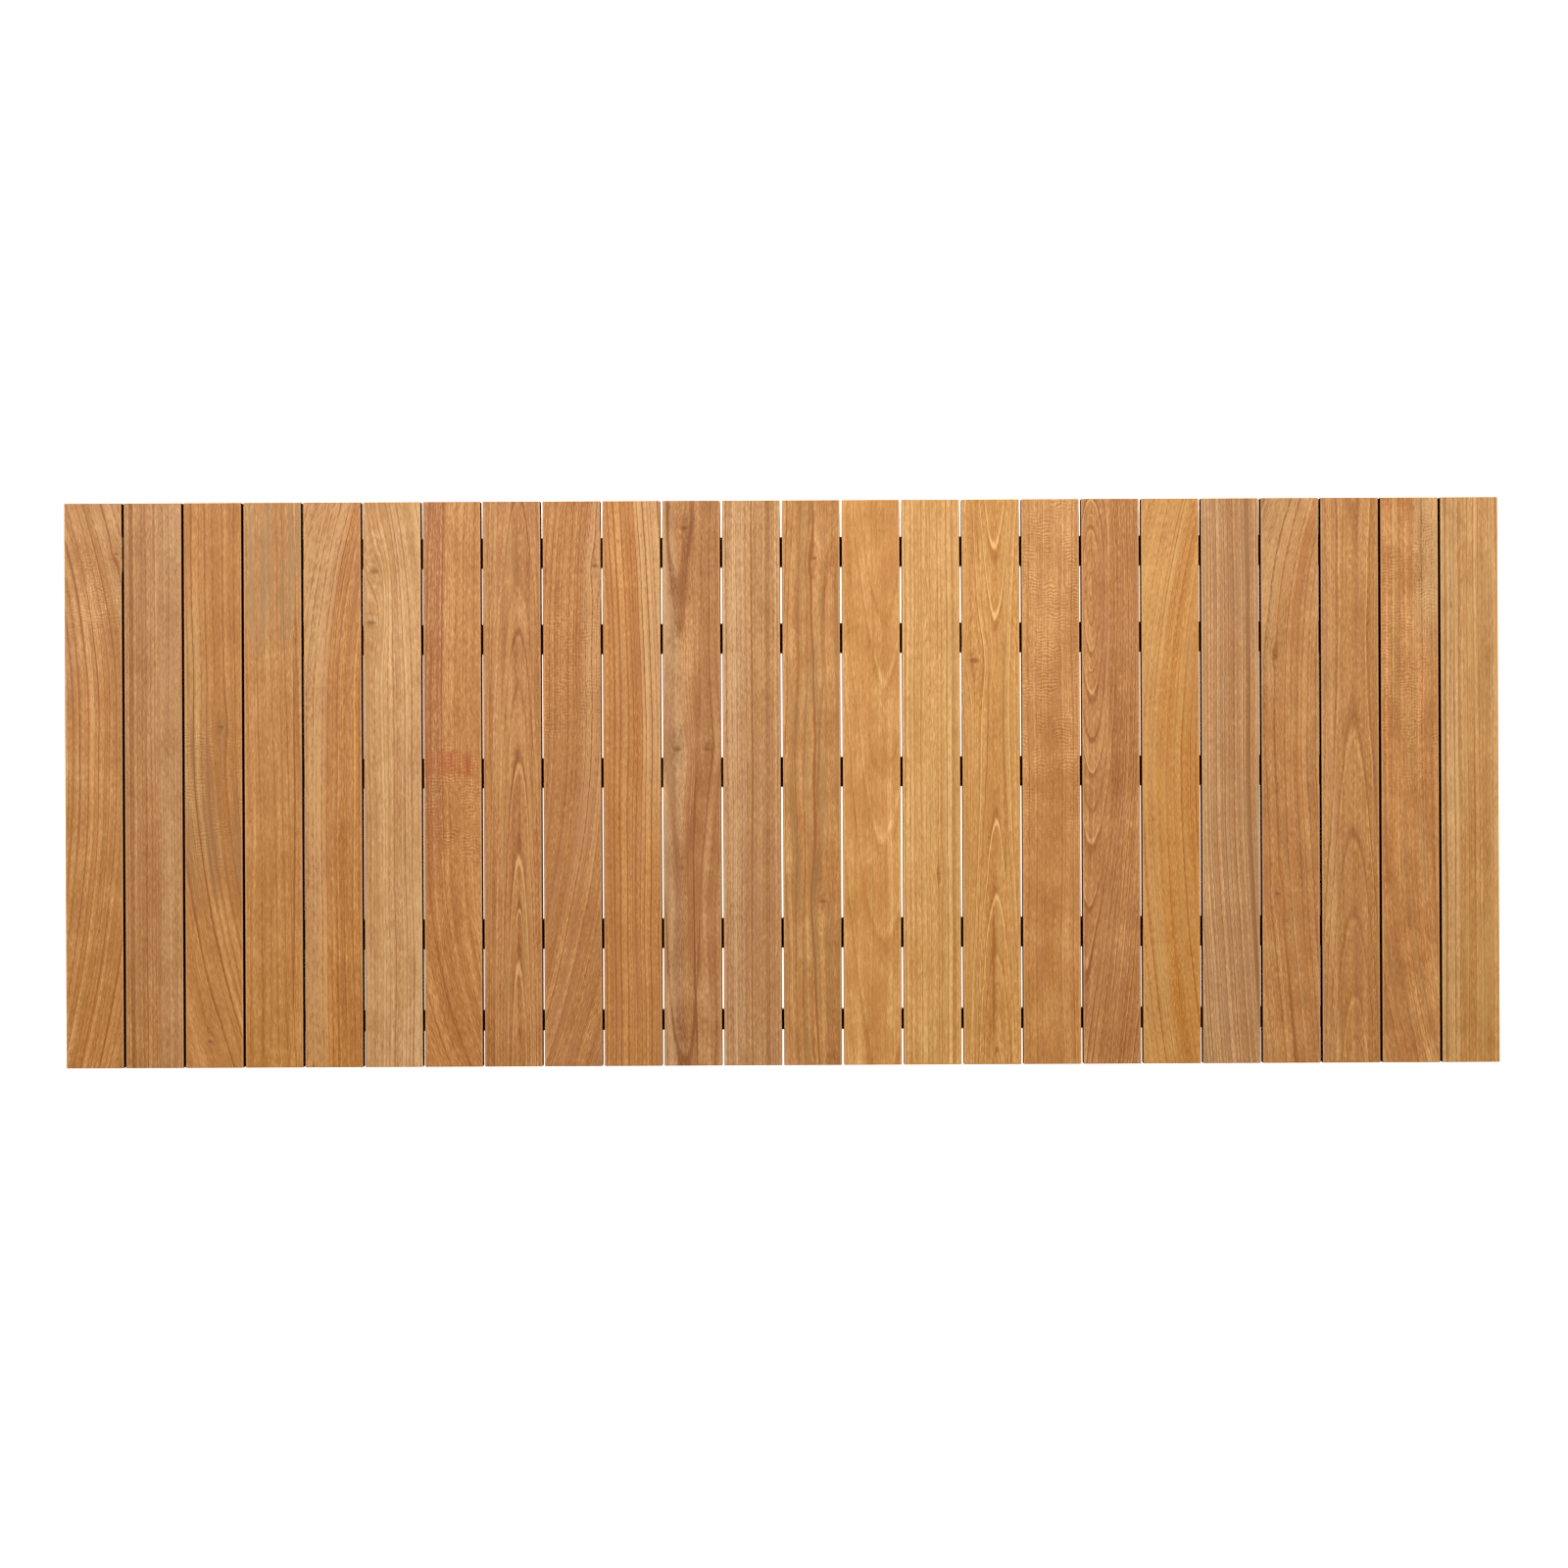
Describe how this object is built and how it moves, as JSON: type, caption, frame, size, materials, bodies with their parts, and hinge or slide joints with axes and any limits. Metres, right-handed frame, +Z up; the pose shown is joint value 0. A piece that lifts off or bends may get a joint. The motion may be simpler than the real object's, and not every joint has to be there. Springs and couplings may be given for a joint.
{
  "type": "bath mat",
  "caption": "Rigid slatted teak bath mat: a flat deck of narrow-gapped hardwood slats screwed from below to full-length battens on rubber feet.",
  "frame": {"origin": "on the floor under the middle of the mat", "axes": "+X along the mat's long side and the battens, +Y along the slats towards the rear battens, +Z up through the deck"},
  "size_m": [1.522, 0.6, 0.035],
  "materials": {
    "teak_honey": "teak, honey brown, sanded and lightly oiled",
    "teak_amber": "teak, golden amber, sanded and lightly oiled",
    "teak_pale": "teak, pale straw, sanded and lightly oiled",
    "teak_russet": "teak, reddish brown, sanded and lightly oiled",
    "teak_brown": "teak, darker brown, sanded and lightly oiled",
    "teak_batten": "teak, darker, sawn and sanded",
    "stainless_screws": "stainless steel, cold formed, satin",
    "stainless_washers": "stainless steel, stamped and tumbled",
    "rubber_feet": "black rubber, moulded, matt"
  },
  "bodies": {
    "root": {"slat_01": "teak_honey", "slat_02": "teak_brown", "slat_03": "teak_brown", "slat_04": "teak_honey", "slat_05": "teak_honey", "slat_06": "teak_pale", "slat_07": "teak_russet", "slat_08": "teak_honey", "slat_09": "teak_russet", "slat_10": "teak_honey", "slat_11": "teak_brown", "slat_12": "teak_pale", "slat_13": "teak_honey", "slat_14": "teak_amber", "slat_15": "teak_pale", "slat_16": "teak_amber", "slat_17": "teak_amber", "slat_18": "teak_brown", "slat_19": "teak_amber", "slat_20": "teak_brown", "slat_21": "teak_russet", "slat_22": "teak_russet", "slat_23": "teak_honey", "slat_24": "teak_pale", "batten_rear_outer": "teak_batten", "batten_rear_inner": "teak_batten", "batten_centre": "teak_batten", "batten_front_inner": "teak_batten", "batten_front_outer": "teak_batten", "deck_screws_rear_outer": "stainless_screws", "feet_rear_outer": "rubber_feet", "foot_washers_rear_outer": "stainless_washers", "foot_screws_rear_outer": "stainless_screws", "deck_screws_rear_inner": "stainless_screws", "feet_rear_inner": "rubber_feet", "foot_washers_rear_inner": "stainless_washers", "foot_screws_rear_inner": "stainless_screws", "deck_screws_centre": "stainless_screws", "feet_centre": "rubber_feet", "foot_washers_centre": "stainless_washers", "foot_screws_centre": "stainless_screws", "deck_screws_front_inner": "stainless_screws", "feet_front_inner": "rubber_feet", "foot_washers_front_inner": "stainless_washers", "foot_screws_front_inner": "stainless_screws", "deck_screws_front_outer": "stainless_screws", "feet_front_outer": "rubber_feet", "foot_washers_front_outer": "stainless_washers", "foot_screws_front_outer": "stainless_screws"}
  },
  "joints": []
}
